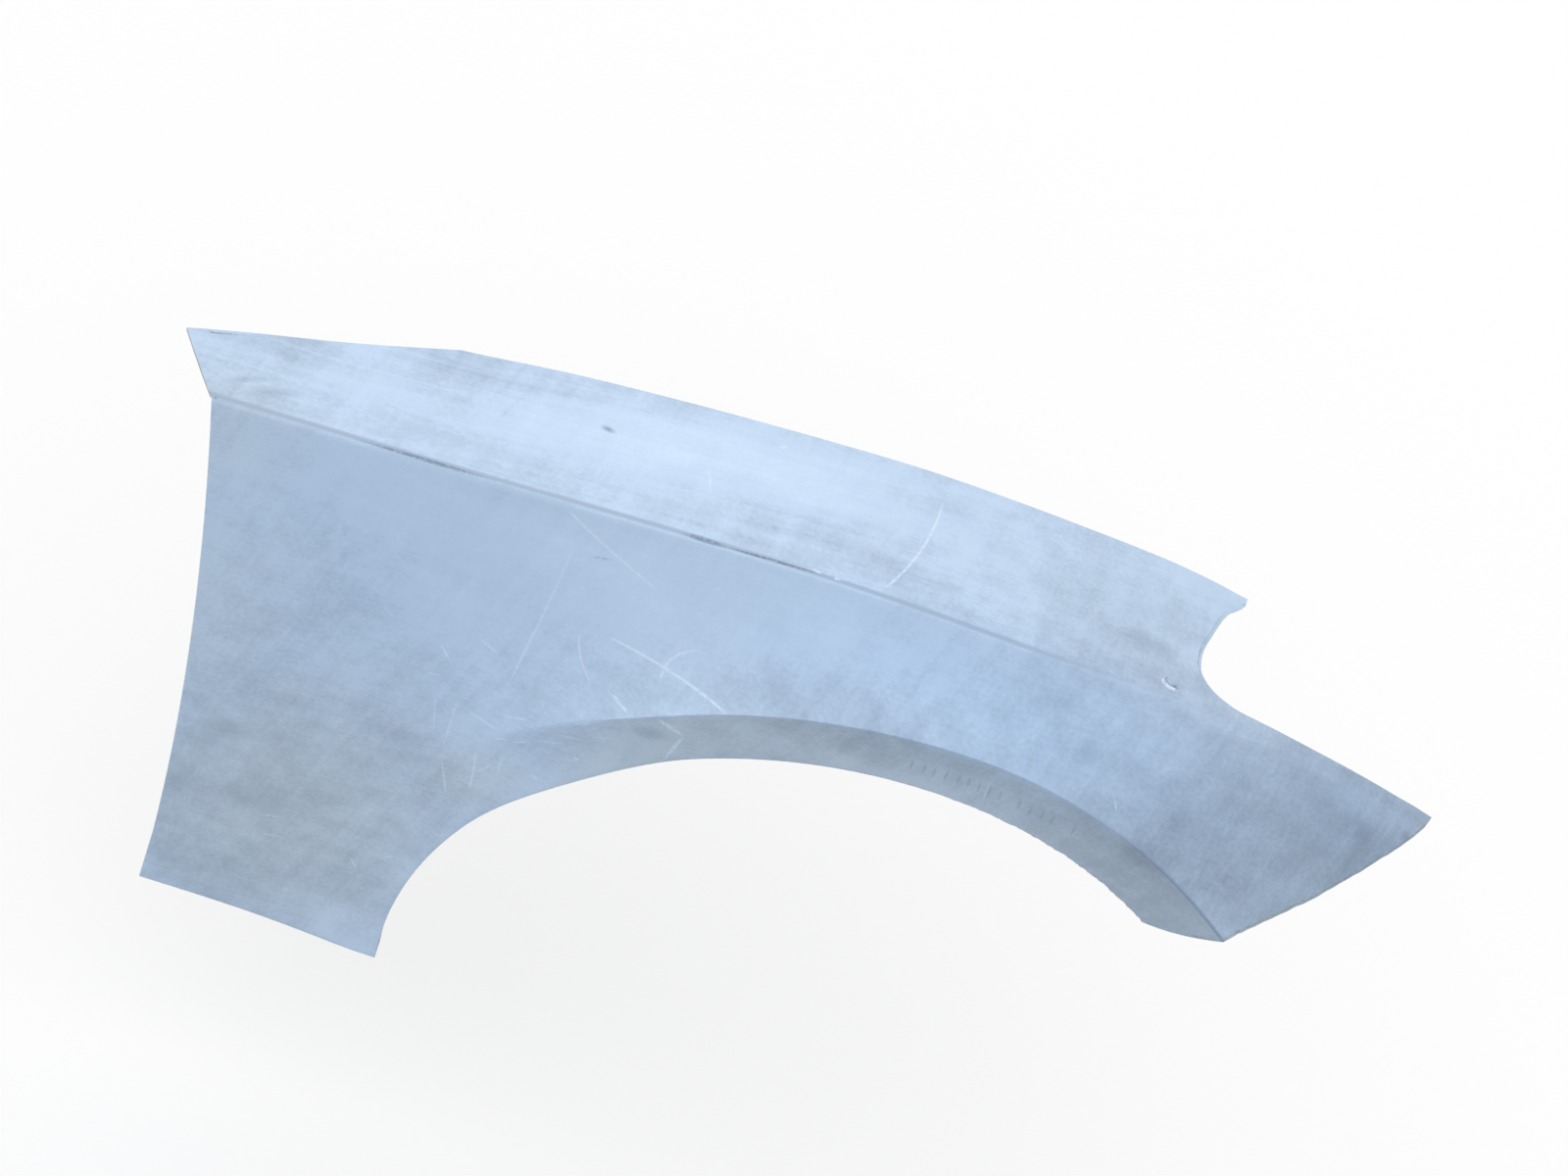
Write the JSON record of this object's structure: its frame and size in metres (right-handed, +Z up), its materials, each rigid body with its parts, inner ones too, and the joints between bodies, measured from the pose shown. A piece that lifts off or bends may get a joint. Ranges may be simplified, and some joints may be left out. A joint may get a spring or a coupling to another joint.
{
  "type": "car fender",
  "caption": "Car front fender in one moulding: shoulder, side and lip band round the wheel arch, with returned edges and a bolting ledge under the bonnet line.",
  "frame": {"origin": "on the underside of the bonnet ledge, halfway across it and between two of its bolt holes", "axes": "+X forwards along the car, +Z up, the outer face towards -Y"},
  "size_m": [1.0792, 0.2213, 0.5851],
  "materials": {
    "gel_coat": "matte blue-grey gel coat on a glass-fibre laminate"
  },
  "bodies": {
    "root": {"fender_panel": "gel_coat"}
  },
  "joints": []
}
